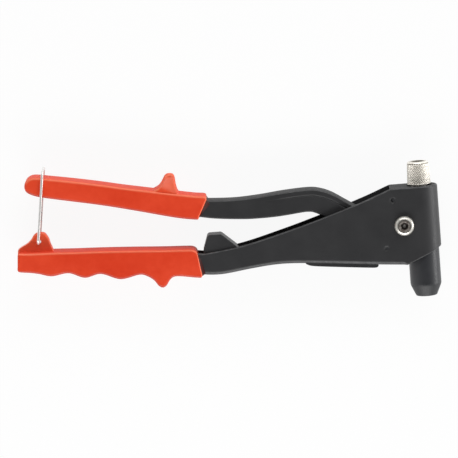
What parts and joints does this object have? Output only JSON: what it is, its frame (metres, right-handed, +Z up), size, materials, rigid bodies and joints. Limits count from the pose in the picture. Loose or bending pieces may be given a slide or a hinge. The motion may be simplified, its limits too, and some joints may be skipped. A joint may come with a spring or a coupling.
{
  "type": "rivet nut tool",
  "caption": "Single-hand lever tool for setting threaded rivet nuts, with dipped grips, a pressed body, a nose barrel, a knurled knob and a wire bail that locks the handles.",
  "frame": {"origin": "under the middle of the tool's box, on the surface that the tool lies on, handles closed", "axes": "+X towards the round front of the head, +Y along the mandrel from the nose to the knob, +Z up through the tool's thickness"},
  "size_m": [0.2654, 0.0976, 0.029],
  "materials": {
    "body_black": "satin",
    "lever_black": "satin",
    "grip_red": "gloss",
    "nose_black": "satin",
    "nickel": "gloss",
    "steel": "satin",
    "bronze": "satin",
    "nylon": "matt"
  },
  "bodies": {
    "frame": {"frame_shell": "body_black", "head_cap": "body_black", "stop_block": "body_black", "belly_strip": "body_black", "lower_grip": "grip_red", "grip_plug": "nylon", "nose_block": "steel", "nose_barrel": "nose_black", "anvil": "steel", "guide_bush": "bronze", "spring_seat": "steel", "return_spring": "steel", "pivot_screw": "nickel", "pivot_nut": "nickel", "thrust_washers": "nylon", "cross_pins": "nose_black"},
    "lever": {"lever_bar": "lever_black", "pivot_bushes": "bronze", "upper_grip": "grip_red"},
    "draw": {"draw_sleeve": "steel", "trunnion_bushes": "bronze"},
    "spindle": {"turn_knob": "nickel", "knob_screw": "steel", "mandrel": "steel", "mandrel_ring": "steel", "thrust_bearing": "bronze"},
    "bail": {"wire_bail": "steel"}
  },
  "joints": [
    {"name": "lever_open", "type": "hinge", "parent": "frame", "child": "lever", "pos_m": [0.1101, -0.00274, 0.0145], "axis": [0, 0, -1], "range_deg": [0, 18]},
    {"name": "draw_slide", "type": "slide", "parent": "frame", "child": "draw", "axis": [0, -1, 0], "range_m": [0, 0.0037], "deforming": ["return_spring"]},
    {"name": "knob_spin", "type": "hinge", "parent": "draw", "child": "spindle", "pos_m": [0.1215, 0.02, 0.0145], "axis": [0, 1, 0], "continuous": true},
    {"name": "bail_swing", "type": "hinge", "parent": "frame", "child": "bail", "pos_m": [-0.1179, 0.00347, 0.0145], "axis": [0, 0, 1], "range_deg": [0, 234]}
  ],
  "couplings": [
    {"joint": "draw_slide", "follows": "lever_open", "m_per_rad": 0.011495},
    {"joint": "bail_swing", "follows": "lever_open", "ratio": 13}
  ]
}
